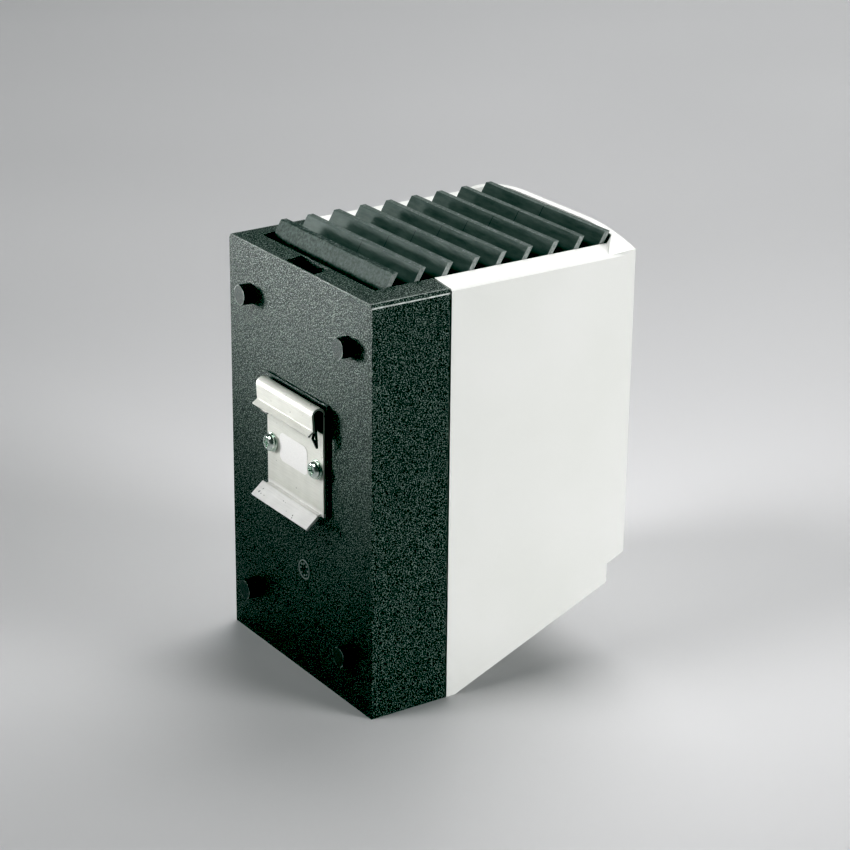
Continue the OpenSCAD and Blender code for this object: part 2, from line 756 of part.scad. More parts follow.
module air_duct() color(dark_part) place() difference() {
    union() {
        difference() {
            block([-duct_out, duct_out], [duct_rear, duct_front], [duct_z0, duct_z1]);
            block([-duct_in, duct_in], [duct_rear + duct_wall, duct_front - duct_wall],
                  [fan_z0, duct_z1 + cut]);
            at_fan_axis() translate([0, 0, duct_z0 - cut]) cylinder(h = flange_t + 2 * cut, r = fan_bore / 2);
        }
        heat_ledges();
    }
    both() for (z = [post_low, post_high])
        rod(post_x, z, [duct_rear - cut, duct_rear + duct_wall + cut], post_screw_d / 2 + hole_gap);
    both() block([bar_x - tab_window / 2, bar_x + tab_window / 2],
                 [duct_rear - cut, duct_rear + duct_wall + cut], duct_tab_zs);
    block([-lead_hole / 2, lead_hole / 2], [duct_rear - cut, duct_rear + duct_wall + cut],
          [fan_lead_z - lead_hole / 4, fan_lead_z + lead_hole / 4]);
    both() for (s = [-1, 1])
        translate([fan_hole_span / 2, -axis_d + s * fan_hole_span / 2, duct_z0 - cut])
            cylinder(h = flange_t + 2 * cut, r = fan_screw_d / 2 + hole_gap);
    both() rod(cutout_screw_x, cutout_z, [duct_rear - cut, duct_rear + duct_wall + cut],
               cutout_screw_d / 2 + tight);
}

module duct_screws() color(zinc) place() both() for (z = [post_low, post_high])
    pan_screw(post_x, z, duct_rear + duct_wall, post_screw_l, post_screw_d,
              post_screw_head_d, post_screw_head_h, -1);

// Fan

module fan_frame() color(dark_part) place() {
    difference() {
        union() {
            at_fan_axis() translate([0, 0, fan_z0]) linear_extrude(fan_h) difference() {
                union() {
                    square([fan_side - 2 * fan_corner_r, fan_side], center = true);
                    square([fan_side, fan_side - 2 * fan_corner_r], center = true);
                    for (x = [-1, 1], y = [-1, 1])
                        translate([x, y] * (fan_side / 2 - fan_corner_r)) circle(r = fan_corner_r);
                }
                circle(r = fan_bore / 2);
            }
            ring(hub_r + 1, tube_in, [motor_z1, fan_z1]);
            for (a = [45 : 90 : 315]) at_fan_axis() rotate(a)
                translate([hub_r - cut, -strut_w / 2, motor_z1])
                    cube([fan_bore / 2 - hub_r + 2 * cut, strut_w, base_plate_t]);
        }
        for (x = [-1, 1], y = [-1, 1])
            at_fan_axis() translate([x * fan_hole_span / 2, y * fan_hole_span / 2, fan_z0 - cut])
                cylinder(h = fan_h + 2 * cut, r = fan_screw_d / 2);
    }
    ring(tube_out, tube_in, [tube_z0, motor_z1 + join]);
    at_fan_axis() translate([0, 0, fan_z1 - tube_cap_t]) cylinder(h = tube_cap_t, r = tube_in + join);
}

// Screws from above through the fan's corners into the duct's flange
module fan_screws() color(zinc) place() for (x = [-1, 1], y = [-1, 1])
    at_fan_axis() translate([x * fan_hole_span / 2, y * fan_hole_span / 2, 0]) difference() {
        union() {
            translate([0, 0, duct_z0]) cylinder(h = fan_z1 - duct_z0, r = fan_screw_d / 2 - tight);
            translate([0, 0, fan_z1]) cylinder(h = fan_screw_head_h, r = fan_screw_head_d / 2);
        }
        for (a = [0, 90]) translate([0, 0, fan_z1 + fan_screw_head_h]) rotate(a)
            cube([fan_screw_head_d * 0.6, fan_screw_head_d * 0.14, fan_screw_head_h], center = true);
    }

module motor_stator() color(aluminium_grey) place() at_fan_axis() translate([0, 0, stator_z0]) difference() {
    union() {
        cylinder(h = stator_z1 - stator_z0, r = stator_core_r);
        for (a = [0 : 90 : 270]) rotate(a) intersection() {
            union() {
                translate([0, -tooth_w / 2, 0]) cube([stator_r, tooth_w, stator_z1 - stator_z0]);
                translate([stator_r - shoe_t, -shoe_w / 2, 0]) cube([shoe_t, shoe_w, stator_z1 - stator_z0]);
            }
            cylinder(h = stator_z1 - stator_z0, r = stator_r);
        }
    }
    translate([0, 0, -cut]) cylinder(h = fan_h, r = tube_out + tight);
}

module stator_coils() color(copper) place() at_fan_axis() for (a = [0 : 90 : 270]) rotate(a) difference() {
    translate([stator_core_r + slip, -coil_w / 2, stator_z0 - coil_margin])
        cube([stator_r - shoe_t - stator_core_r - 2 * slip, coil_w, stator_z1 - stator_z0 + 2 * coil_margin]);
    translate([0, -tooth_w / 2 - tight, stator_z0 - tight])
        cube([stator_r, tooth_w + 2 * tight, stator_z1 - stator_z0 + 2 * tight]);
}

module motor_board() color(green_board) place()
    ring(stator_core_r + shoe_w / 3, tube_out + seat_gap, [board_z0, board_z0 + board_t]);

bearing_zs = [tube_z0, motor_z1 - bearing_l - bearing_inset];
module fan_bearings() color(pale_steel) place() for (z = bearing_zs)
    ring(tube_in, shaft_r + shaft_gap, [z, z + bearing_l]);

module vane() rotate(vane_twist / 2) linear_extrude(height = vane_h, twist = vane_twist, slices = 6, $fn = 8)
    translate([hub_r - vane_root, -vane_t / 2]) square([fan_tip - hub_r + vane_root, vane_t]);

module fan_impeller() color(black_plastic) place() {
    ring(hub_r, hub_r - hub_skin, [hub_z0, hub_z1]);
    ring(hub_r - join, shaft_r, [hub_z0, hub_z0 + hub_skin]);
    ring(shaft_r + sleeve_t, shaft_r, [hub_z0, tube_z0 - sleeve_gap]);
    at_fan_axis() translate([0, 0, vane_z0]) for (i = [0 : fan_blades - 1])
        rotate(i * 360 / fan_blades) vane();
}

yoke_z0 = hub_z0 + hub_skin;
module rotor_yoke() color(zinc) place() {
    ring(yoke_r, yoke_r - yoke_t, [yoke_z0, hub_z1 - yoke_inset]);
    ring(yoke_r - yoke_t / 2, shaft_r + sleeve_t + seat_gap, [yoke_z0, yoke_z0 + yoke_plate_t]);
}

module rotor_magnet() color(dark_part) place()
    ring(magnet_r, magnet_r - magnet_t, [yoke_z0 + yoke_plate_t + seat_gap, hub_z1 - 2 * yoke_inset]);

shaft_z1 = motor_z1 - slip;
module fan_shaft() color(pale_steel) place() at_fan_axis() translate([0, 0, hub_z0 + shaft_inset])
    cylinder(h = shaft_z1 - hub_z0 - shaft_inset, r = shaft_r);

clip_ring_z = bearing_zs[1] + bearing_l + clip_ring_gap;
module shaft_clip() color(zinc) place()
    ring(shaft_r + clip_ring_w, shaft_r, [clip_ring_z, clip_ring_z + clip_ring_t]);

// Heating register

bar_ds = [heat_d0 + cap_t - cap_grip, heat_d1 - cap_t + cap_grip];
pack_ds = [heat_d0 + cap_t, heat_d1 - cap_t];

module heater_bars() color(aluminium_grey) place() both() difference() {
    block([bar_x - bar_w / 2, bar_x + bar_w / 2], bar_ds, [heat_z0, heat_z1]);
    block([bar_x - stone_t / 2, bar_x + stone_t / 2], [bar_ds[0] - cut, bar_ds[1] + cut],
          [heat_z0 + bar_wall, heat_z1 - bar_wall]);
}

// Folded strip that runs along the depth between two bars
module fin_pack(x0, x1) {
    step = (pack_ds[1] - pack_ds[0]) / fin_folds;
    tip = fin_t * 1.2;
    near = [for (i = [0 : fin_folds]) [i % 2 == 0 ? x0 : x1 - tip, pack_ds[0] + i * step]];
    far = [for (i = [fin_folds : -1 : 0]) [i % 2 == 0 ? x0 + tip : x1, pack_ds[0] + i * step]];
    translate([0, 0, heat_z0]) linear_extrude(heat_h)
        polygon([for (p = concat(near, far)) [p[0], -p[1]]]);
}

module heater_fins() color(aluminium_grey) place() {
    fin_pack(-mid_pack_w / 2, mid_pack_w / 2);
    both() {
        fin_pack(side_pack_x0, side_pack_x1 - side_strip_t + join);
        block([side_pack_x1 - side_strip_t, side_pack_x1], pack_ds, [heat_z0, heat_z1]);
    }
}

module end_cap(ds, grip) difference() {
    block([-side_pack_x1, side_pack_x1], ds, [heat_z0, heat_z1]);
    both() block([bar_x - bar_w / 2, bar_x + bar_w / 2], grip, [heat_z0 - cut, heat_z1 + cut]);
    both() block([bar_x - tab_w / 2, bar_x + tab_w / 2], [ds[0] - cut, ds[1] + cut],
                 [heat_zc - tab_t / 2, heat_zc + tab_t / 2]);
    for (x = [-1, 0, 1] * mid_pack_w / 3)
        block([x - cap_window / 2, x + cap_window / 2], [ds[0] - cut, ds[1] + cut],
              [heat_z0 + cap_window, heat_z1 - cap_window]);
}

module heater_end_caps() color(ivory) place() {
    end_cap([heat_d0, heat_d0 + cap_t], [bar_ds[0], heat_d0 + cap_t + cut]);
    end_cap([heat_d1 - cap_t, heat_d1], [heat_d1 - cap_t - cut, bar_ds[1]]);
}

tab_ds = [heat_d0 - tab_l, bar_ds[0]];
module heater_terminals() color(amber_part) place() both()
    block([bar_x - tab_w / 2, bar_x + tab_w / 2], tab_ds, [heat_zc - tab_t / 2, heat_zc + tab_t / 2]);

// Thermal cut-out on the duct's rear wall

module thermal_cutout() color(dark_part) place() {
    plate_ds = [duct_rear - cutout_plate_t, duct_rear];
    difference() {
        union() {
            block([-cutout_plate_w / 2, cutout_plate_w / 2], plate_ds,
                  [cutout_z - cutout_plate_h / 2, cutout_z + cutout_plate_h / 2]);
            rod(0, cutout_z, [duct_rear - cutout_t, duct_rear], cutout_r);
        }
        both() rod(cutout_screw_x, cutout_z, [plate_ds[0] - cut, plate_ds[1] + cut],
                   cutout_screw_d / 2 + hole_gap);
    }
    both() block([cutout_r / 2 - tab_t, cutout_r / 2],
                 [duct_rear - cutout_t - cutout_tab_l, duct_rear - cutout_t + join],
                 [cutout_z - tab_w / 2, cutout_z + tab_w / 2]);
}

module cutout_screws() color(zinc) place() both()
    pan_screw(cutout_screw_x, cutout_z, duct_rear - cutout_plate_t, cutout_screw_l, cutout_screw_d,
              cutout_head_d, cutout_head_h, 1);

// Leads inside the housing

lead_sink = 2;
lead_z0 = block_z0 + block_h - lead_sink;
lead_clear_d = boss_l + lead_r + lead_sink;
lead_bend = 12;
fan_lead_bend = 5;
lead_end_z = heat_zc - tab_t / 2 - lead_r;
module heater_leads() color([0.55, 0.12, 0.10]) place() both()
    wire([[pole_pitch, lead_d, lead_z0], [pole_pitch, lead_d, rail_z - 2 * lead_bend],
          [pole_pitch, lead_clear_d, rail_z - lead_bend],
          [pole_pitch, lead_clear_d, heat_zc - 1.5 * lead_bend],
          [bar_x, lead_clear_d, heat_zc - 0.75 * lead_bend],
          [bar_x, tab_ds[0] + lead_sink, lead_end_z]], lead_r);

fan_lead_x = fan_lead_r + 2 * slip;
fan_lead_end_d = axis_d - fan_bore / 2 - fan_lead_r;
module fan_leads() color([0.12, 0.16, 0.42]) place() both()
    wire([[fan_lead_x, lead_d, lead_z0], [fan_lead_x, lead_d, fan_z1 - fan_lead_bend],
          [fan_lead_x, duct_rear - fan_lead_bend, fan_lead_z], [fan_lead_x, fan_lead_end_d, fan_lead_z],
          [fan_lead_x, fan_lead_end_d, fan_z1 + fan_lead_r]], fan_lead_r);

base_housing();
front_hood();
outlet_grille();
rail_clip();
clip_spring();
clip_screws();
clip_washers();
cable_grommet();
terminal_block();
terminal_screws();
air_duct();
duct_screws();
fan_frame();
fan_screws();
motor_stator();
stator_coils();
motor_board();
fan_bearings();
fan_impeller();
rotor_yoke();
rotor_magnet();
fan_shaft();
shaft_clip();
heater_bars();
heater_fins();
heater_end_caps();
heater_terminals();
thermal_cutout();
cutout_screws();
heater_leads();
fan_leads();
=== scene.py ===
"""Looks of the enclosure heater: soft edges, finishes, small trim, stage, lights and camera."""

import json
import math

import bmesh
import bpy
from mathutils import Matrix, Vector


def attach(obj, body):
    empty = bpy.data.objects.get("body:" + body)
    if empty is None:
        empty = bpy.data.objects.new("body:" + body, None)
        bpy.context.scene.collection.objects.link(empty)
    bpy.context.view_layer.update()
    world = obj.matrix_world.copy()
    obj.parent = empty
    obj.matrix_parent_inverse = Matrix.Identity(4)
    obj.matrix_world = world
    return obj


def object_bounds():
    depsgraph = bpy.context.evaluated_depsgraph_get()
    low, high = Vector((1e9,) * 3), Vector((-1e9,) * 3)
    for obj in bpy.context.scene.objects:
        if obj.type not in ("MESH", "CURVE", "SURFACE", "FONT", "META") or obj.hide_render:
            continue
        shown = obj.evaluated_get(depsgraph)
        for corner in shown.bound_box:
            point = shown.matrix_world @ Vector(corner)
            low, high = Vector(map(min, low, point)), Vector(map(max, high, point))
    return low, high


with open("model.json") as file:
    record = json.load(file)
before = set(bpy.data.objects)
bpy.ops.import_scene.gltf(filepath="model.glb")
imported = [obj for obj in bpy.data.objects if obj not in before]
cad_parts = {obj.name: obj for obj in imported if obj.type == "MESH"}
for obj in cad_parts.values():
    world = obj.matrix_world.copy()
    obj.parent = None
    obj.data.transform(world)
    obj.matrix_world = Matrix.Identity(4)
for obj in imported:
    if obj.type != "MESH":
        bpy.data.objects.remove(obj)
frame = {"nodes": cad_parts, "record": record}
cad_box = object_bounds()

MM = 0.001
NODES = frame["nodes"]
SLOTS = {part["node"]: part["material_slot"] for part in frame["record"]["subparts"]}

# Camera, as fitted to the photograph: angles in degrees, lengths in metres
VIEW_AZIMUTH = 236.05
VIEW_ELEVATION = 21.68
VIEW_ROLL = 0.58
VIEW_DISTANCE = 1.0
VIEW_CENTRE = Vector((0.0, -61.0, 0.0)) * MM
VIEW_OFFSET = (-1.43 * MM, -0.67 * MM)
LENS = 108.2
SENSOR = 36.0

# Width of the soft edge on each visible node, in millimetres
EDGES = {
    "base_housing": 0.32,
    "front_hood": 0.32,
    "outlet_grille": 0.22,
    "rail_clip": 0.2,
    "clip_screws": 0.3,
    "clip_washers": 0.15,
    "terminal_block": 0.2,
    "air_duct": 0.25,
    "fan_frame": 0.3,
    "heater_end_caps": 0.25,
    "heater_bars": 0.2,
    "thermal_cutout": 0.2,
}
EDGE_ANGLE = math.radians(32)
FLAT_ANGLE = math.radians(0.6)
WELD = 0.04 * MM

# Places on the base in millimetres, for the painted highlights and the plain peg ends: outer faces, upper
# edges and pegs
HALF_WIDTH = 51.0
REAR_FACE = -2.0
REAR_TOP = 74.3
CHAMFER = 1.4
PEG_END = 3.0
PEG_X = 35.3
PEG_MIDDLE = -7.7
PEG_SPAN = 124.0
PEG_R = 3.9

# Front of the grille's first blade, which is painted darker as shade, and the clip's roll, whose inside is
# painted dark as shade, and its height, in millimetres
FIRST_BLADE = -20.7
ROLL_Y = 1.9
ROLL_Z = 23.2
ROLL_REACH = 2.15
ROLL_LOW = 15.3
CLIP_SPAN = 50.0

# Half width of a painted highlight line and of the other thin bands that the masks pick out, in millimetres
LINE = 0.3


# Small helpers for shader nodes

class Finish:
    """One material with a principled shader, and the few node patterns that the finishes share."""

    def __init__(self, name, **sockets):
        self.material = bpy.data.materials.new(name)
        self.material.use_nodes = True
        self.tree = self.material.node_tree
        self.shader = self.tree.nodes["Principled BSDF"]
        for socket, value in sockets.items():
            self.shader.inputs[socket.replace("_", " ").title().replace("Ior", "IOR")].default_value = value
        self.place = self.node("ShaderNodeTexCoord").outputs["Object"]

    def node(self, kind, **settings):
        made = self.tree.nodes.new(kind)
        for name, value in settings.items():
            setattr(made, name, value)
        return made

    def join(self, source, target):
        self.tree.links.new(source, target)

    def stretched(self, scale):
        """Object coordinates, scaled along each axis."""
        mapping = self.node("ShaderNodeMapping")
        mapping.inputs["Scale"].default_value = scale
        self.join(self.place, mapping.inputs["Vector"])
        return mapping.outputs["Vector"]

    def noise(self, size_mm, detail=2.0, rough=0.5, vector=None):
        """Noise whose features are about size_mm across."""
        made = self.node("ShaderNodeTexNoise")
        made.inputs["Scale"].default_value = 1.0 / (size_mm * MM)
        made.inputs["Detail"].default_value = detail
        made.inputs["Roughness"].default_value = rough
        self.join(vector or self.place, made.inputs["Vector"])
        return made.outputs["Fac"]

    def ramp(self, source, *stops):
        """Colours, or greys given as one number, at positions of the source value."""
        made = self.node("ShaderNodeValToRGB")
        elements = made.color_ramp.elements
        while len(elements) < len(stops):
            elements.new(0.5)
        for element, (position, colour) in zip(elements, stops):
            element.position = position
            element.color = (*colour, 1.0) if isinstance(colour, tuple) else (colour, colour, colour, 1.0)
        self.join(source, made.inputs["Fac"])
        return made.outputs["Color"]

    def math(self, operation, *values):
        made = self.node("ShaderNodeMath", operation=operation)
        for socket, value in zip(made.inputs, values):
            if isinstance(value, (int, float)):
                socket.default_value = value
            else:
                self.join(value, socket)
        return made.outputs["Value"]

    def axes(self, vector=None):
        """The three parts of a vector; without one, of the object coordinates in millimetres."""
        split = self.node("ShaderNodeSeparateXYZ")
        self.join(vector or self.stretched((1 / MM, 1 / MM, 1 / MM)), split.inputs["Vector"])
        return split.outputs

    def facing(self):
        """The three parts of the surface's own direction."""
        return self.axes(self.node("ShaderNodeTexCoord").outputs["Normal"])

    def distance(self, first, second):
        """Diagonal over two lengths at right angles."""
        squares = [self.math("MULTIPLY", length, length) for length in (first, second)]
        return self.math("SQRT", self.math("ADD", *squares))

    def line(self, first, first_at, second, second_at):
        """One where two lengths are both within LINE of their places, otherwise zero."""
        near_first = self.math("COMPARE", first, first_at, LINE)
        near_second = self.math("COMPARE", second, second_at, LINE)
        return self.math("MULTIPLY", near_first, near_second)

    def mix(self, factor, first, second, blend="MIX"):
        """Mixes two colours or colour outputs."""
        made = self.node("ShaderNodeMix", data_type="RGBA", blend_type=blend)
        for socket, value in zip((made.inputs[0], made.inputs[6], made.inputs[7]), (factor, first, second)):
            if isinstance(value, tuple):
                socket.default_value = (*value, 1.0)
            elif isinstance(value, (int, float)):
                socket.default_value = value
            else:
                self.join(value, socket)
        return made.outputs[2]

    def bump(self, height, depth_mm, strength=1.0):
        made = self.node("ShaderNodeBump")
        made.inputs["Strength"].default_value = strength
        made.inputs["Distance"].default_value = depth_mm * MM
        self.join(height, made.inputs["Height"])
        self.join(made.outputs["Normal"], self.shader.inputs["Normal"])

    def colour(self, source):
        self.join(source, self.shader.inputs["Base Color"])

    def roughness(self, source):
        self.join(source, self.shader.inputs["Roughness"])


# Finishes, with lengths in millimetres

def base_edge_highlights(f):
    """Painted highlight lines along the rear face's upper edge and both edges of the chamfers beside the
    roof.
    """
    x, y, z = f.axes()
    side = f.math("ABSOLUTE", x)
    low = f.line(side, HALF_WIDTH, z, REAR_TOP - CHAMFER)
    high = f.math("MULTIPLY", f.line(side, HALF_WIDTH - CHAMFER, z, REAR_TOP + LINE / 2), 0.4)
    rear = f.math("MULTIPLY", f.line(y, REAR_FACE, z, REAR_TOP), 0.25)
    edges = f.math("MAXIMUM", low, f.math("MAXIMUM", high, rear))
    patches = f.ramp(f.noise(2.5, detail=3.0), (0.35, 0.45), (0.6, 1.0))
    return f.math("MULTIPLY", edges, patches)


def peg_faces(f):
    """Masks of the four pegs' end faces and of the painted highlight rims around them."""
    x, y, z = f.axes()
    end = f.math("COMPARE", y, PEG_END, LINE)
    across = f.math("SUBTRACT", f.math("ABSOLUTE", x), PEG_X)
    along = f.math("SUBTRACT", f.math("ABSOLUTE", f.math("SUBTRACT", z, PEG_MIDDLE)), PEG_SPAN / 2)
    rim = f.math("MULTIPLY", end, f.math("COMPARE", f.distance(across, along), PEG_R, LINE))
    patches = f.ramp(f.noise(3.0, detail=3.0), (0.45, 0.0), (0.62, 0.5))
    return end, f.math("MULTIPLY", rim, patches)


def base_black():
    """Black moulded plastic with a spark-eroded grain, plain peg ends, and painted highlights along its
    upper edges and around the peg ends.
    """
    f = Finish("base_black", specular_ior_level=0.5)
    grain = f.noise(0.48, detail=1.0, rough=0.5)
    cloud = f.noise(38.0, detail=2.0)
    pits = (0.0006, 0.004, 0.0025)
    slopes = (0.006, 0.018, 0.013)
    peaks = (0.21, 0.26, 0.23)
    plain = (0.038, 0.050, 0.045)
    highlight_grey = (0.66, 0.69, 0.67)
    speck = f.ramp(grain, (0.40, pits), (0.52, slopes), (0.66, peaks))
    shade = f.ramp(cloud, (0.3, 0.86), (0.7, 1.0))
    moulded = f.mix(1.0, speck, shade, "MULTIPLY")
    peg_end, peg_rim_highlight = peg_faces(f)
    # Painted highlights: pale lines on the upper edges and on the peg rims stand in for light caught by
    # those edges.
    painted_highlight = f.math("MAXIMUM", base_edge_highlights(f), peg_rim_highlight)
    f.colour(f.mix(painted_highlight, f.mix(peg_end, moulded, plain), highlight_grey))
    f.roughness(f.ramp(grain, (0.35, 0.60), (0.65, 0.30)))
    f.bump(grain, 0.23, 1.0)
    return f.material


def hood_grey():
    """Pale moulded plastic with a fine matt texture."""
    f = Finish("hood_grey", specular_ior_level=0.35)
    fine = f.noise(0.45, detail=2.0)
    cloud = f.noise(55.0, detail=2.0)
    f.colour(f.ramp(cloud, (0.3, (0.770, 0.780, 0.752)), (0.7, (0.800, 0.806, 0.786))))
    f.roughness(f.ramp(fine, (0.3, 0.62), (0.7, 0.52)))
    f.bump(fine, 0.035, 0.5)
    return f.material


def blade_lit_ends_and_nicks(f, scuff):
    """Share of pale rough plastic: painted light on the blades' ends, which face the lamps at the sides,
    and nicks along their upper edges.
    """
    facing = f.facing()
    # Painted light: ends that face sideways are made pale, for the lamp light that falls on them.
    ends = f.ramp(f.math("ABSOLUTE", facing["X"]), (0.75, 0.0), (0.95, 0.85))
    upper = f.ramp(facing["Z"], (0.80, 0.0), (0.97, 1.0))
    nicks = f.ramp(scuff, (0.53, 0.0), (0.64, 0.5))
    return f.math("MAXIMUM", ends, f.math("MULTIPLY", upper, nicks))


def grille_black():
    """Satin black plastic with flow marks, a first blade painted darker as shade, painted light on the
    blades' ends, pale nicks along their upper edges and a fine line at mid width.
    """
    f = Finish("grille_black", specular_ior_level=0.35)
    flow = f.noise(3.2, detail=4.0, rough=0.6, vector=f.stretched((0.25, 1.0, 1.0)))
    scuff = f.noise(1.1, detail=5.0, rough=0.7)
    x, y, _ = f.axes()
    seam = f.math("MULTIPLY", f.math("COMPARE", x, 0.0, LINE / 2), 0.7)
    # Painted shade: the first blade gets a darker tone than the rest, because the low sheen lamp lights it
    # and not the blades ahead of it; its mottling is its own.
    first = f.math("GREATER_THAN", y, FIRST_BLADE)
    dark = f.ramp(scuff, (0.36, (0.004, 0.014, 0.010)), (0.64, (0.056, 0.080, 0.070)))
    light = f.ramp(flow, (0.3, (0.074, 0.094, 0.086)), (0.75, (0.142, 0.168, 0.157)))
    # Pale colour for the painted light on the blade ends and for the nicks.
    pale = f.ramp(scuff, (0.35, (0.22, 0.24, 0.23)), (0.65, (0.42, 0.44, 0.43)))
    blades = f.mix(blade_lit_ends_and_nicks(f, scuff), f.mix(first, light, dark), pale)
    f.colour(f.mix(seam, blades, (0.004, 0.006, 0.005)))
    f.roughness(f.ramp(flow, (0.3, 0.50), (0.7, 0.38)))
    f.bump(flow, 0.05, 0.4)
    return f.material


def roll_painted_shade(f):
    """Share of painted shade: high on the inner faces of the clip's roll and jaw, zero elsewhere."""
    _, y, z = f.axes()
    across = f.math("SUBTRACT", y, ROLL_Y)
    above = f.math("MAXIMUM", f.math("SUBTRACT", z, ROLL_Z), 0.0)
    inner = f.math("LESS_THAN", f.distance(across, above), ROLL_REACH)
    high = f.math("GREATER_THAN", z, ROLL_LOW)
    not_end = f.math("LESS_THAN", f.math("ABSOLUTE", f.facing()["X"]), 0.6)
    return f.math("MULTIPLY", f.math("MULTIPLY", inner, high), f.math("MULTIPLY", not_end, 0.92))


def clip_steel():
    """Pale plated sheet with fine rolling lines and a few dark scuffs; its lip is painted brighter than the
    plate and jaw as light from above, and the inside of its roll is painted dark as shade.
    """
    f = Finish("clip_steel", metallic=0.2, specular_ior_level=0.5)
    rolled = f.noise(0.5, detail=3.0, vector=f.stretched((0.05, 1.0, 1.0)))
    cloud = f.noise(7.0, detail=3.0)
    tone = f.ramp(cloud, (0.3, (0.78, 0.78, 0.76)), (0.7, (0.86, 0.86, 0.84)))
    # Painted light: the lip, which faces up, keeps the full tone, and the plate and jaw above it are toned
    # down for how light falls on them.
    height = f.math("MULTIPLY_ADD", f.axes()["Z"], 1 / CLIP_SPAN, 0.5)
    lip_lit_plate_shaded = f.ramp(height, (0.15, 1.0), (0.18, (0.77, 0.78, 0.735)))
    plating_and_painted_light = f.mix(1.0, tone, lip_lit_plate_shaded, "MULTIPLY")
    sheet = f.mix(0.2, plating_and_painted_light, f.ramp(rolled, (0.3, 0.58), (0.7, 0.84)))
    scuffs = f.ramp(f.noise(1.6, detail=1.0), (0.74, 0.0), (0.77, 0.8))
    # Painted shade inside the roll, darkened together with the real scuffs.
    scuffs_and_roll_shade = f.math("MAXIMUM", scuffs, roll_painted_shade(f))
    f.colour(f.mix(scuffs_and_roll_shade, sheet, (0.05, 0.052, 0.048)))
    f.roughness(f.ramp(rolled, (0.3, 0.52), (0.7, 0.42)))
    f.bump(rolled, 0.012, 0.5)
    return f.material


def plated(name, dark, light, rough, blotch_mm):
    """Bright plated metal with a slightly uneven tint."""
    f = Finish(name, metallic=1.0)
    blotch = f.noise(blotch_mm, detail=3.0)
    fine = f.noise(0.25, detail=2.0)
    f.colour(f.ramp(blotch, (0.3, dark), (0.7, light)))
    f.roughness(f.ramp(fine, (0.3, rough * 0.8), (0.7, rough * 1.25)))
    f.bump(fine, 0.008, 0.4)
    return f.material


def drawn_metal(name, dark, light, rough, stretch):
    """Metal with fine lines along one axis, as drawn, rolled or ground."""
    f = Finish(name, metallic=1.0)
    lines = f.noise(0.4, detail=3.0, vector=f.stretched(stretch))
    f.colour(f.ramp(lines, (0.3, dark), (0.7, light)))
    f.roughness(f.ramp(lines, (0.3, rough * 0.75), (0.7, rough * 1.3)))
    f.bump(lines, 0.012, 0.5)
    return f.material


def plain_plastic(name, dark, light, rough, grain_mm, specular=0.45):
    """Moulded plastic or rubber with a light texture and soft clouds of tone."""
    f = Finish(name, specular_ior_level=specular)
    grain = f.noise(grain_mm, detail=2.0)
    cloud = f.noise(14.0, detail=2.0)
    f.colour(f.ramp(cloud, (0.3, dark), (0.7, light)))
    f.roughness(f.ramp(grain, (0.3, rough * 1.15), (0.7, rough * 0.85)))
    f.bump(grain, 0.04, 0.5)
    return f.material


def coil_copper():
    """Enamelled winding: turns side by side, a third of a millimetre apart."""
    f = Finish("coil_copper", metallic=0.9, coat_weight=0.5, coat_roughness=0.15)
    turns = f.node("ShaderNodeTexWave", bands_direction="Z")
    turns.inputs["Scale"].default_value = 1.0 / (2.1 * MM)
    turns.inputs["Distortion"].default_value = 0.6
    f.join(f.place, turns.inputs["Vector"])
    f.colour(f.ramp(turns.outputs["Fac"], (0.1, (0.25, 0.08, 0.03)), (0.8, (0.72, 0.34, 0.15))))
    f.roughness(f.ramp(turns.outputs["Fac"], (0.2, 0.45), (0.8, 0.25)))
    f.bump(turns.outputs["Fac"], 0.15, 0.8)
    return f.material


def board_green():
    """Coated circuit board with the faint weave of its fabric."""
    f = Finish("board_green", coat_weight=0.4, coat_roughness=0.2)
    weave = f.node("ShaderNodeTexChecker")
    weave.inputs["Scale"].default_value = 1.0 / (0.6 * MM)
    f.join(f.place, weave.inputs["Vector"])
    tone = f.ramp(f.noise(3.0), (0.3, (0.020, 0.130, 0.060)), (0.7, (0.035, 0.190, 0.085)))
    f.colour(f.mix(0.12, tone, weave.outputs["Color"], "OVERLAY"))
    f.roughness(f.ramp(f.noise(0.6), (0.3, 0.42), (0.7, 0.30)))
    f.bump(weave.outputs["Fac"], 0.02, 0.3)
    return f.material


# Darker and lighter ends of each tone
DARK_STEEL = ((0.10, 0.10, 0.10), (0.22, 0.22, 0.21))
ZINC = ((0.50, 0.60, 0.54), (0.86, 0.90, 0.87))
RUBBER = ((0.012, 0.012, 0.012), (0.026, 0.026, 0.026))
IVORY = ((0.70, 0.65, 0.53), (0.80, 0.75, 0.64))
DUCT = ((0.016, 0.016, 0.018), (0.034, 0.034, 0.036))
FAN = ((0.012, 0.012, 0.014), (0.028, 0.028, 0.030))
CORE_STEEL = ((0.30, 0.31, 0.33), (0.52, 0.53, 0.55))
BEARING = ((0.52, 0.53, 0.55), (0.70, 0.71, 0.73))
MAGNET = ((0.030, 0.030, 0.033), (0.065, 0.064, 0.068))
BAR = ((0.62, 0.63, 0.65), (0.80, 0.81, 0.83))
FIN = ((0.66, 0.67, 0.69), (0.84, 0.85, 0.87))
CAP = ((0.62, 0.58, 0.50), (0.74, 0.70, 0.62))
BRASS = ((0.68, 0.50, 0.24), (0.86, 0.70, 0.40))
BROWN = ((0.055, 0.026, 0.018), (0.110, 0.054, 0.036))
RED = ((0.34, 0.030, 0.024), (0.46, 0.050, 0.040))
BLUE = ((0.030, 0.060, 0.24), (0.050, 0.095, 0.36))
MARK = ((0.24, 0.27, 0.255), (0.38, 0.41, 0.395))

# Lines along the width, the depth or the height, and thin sheets that lie level
ALONG_X = (0.1, 1.0, 1.0)
ALONG_Y = (1.0, 0.05, 1.0)
ALONG_Z = (1.0, 1.0, 0.05)
LEVEL_SHEETS = (1.0, 1.0, 6.0)

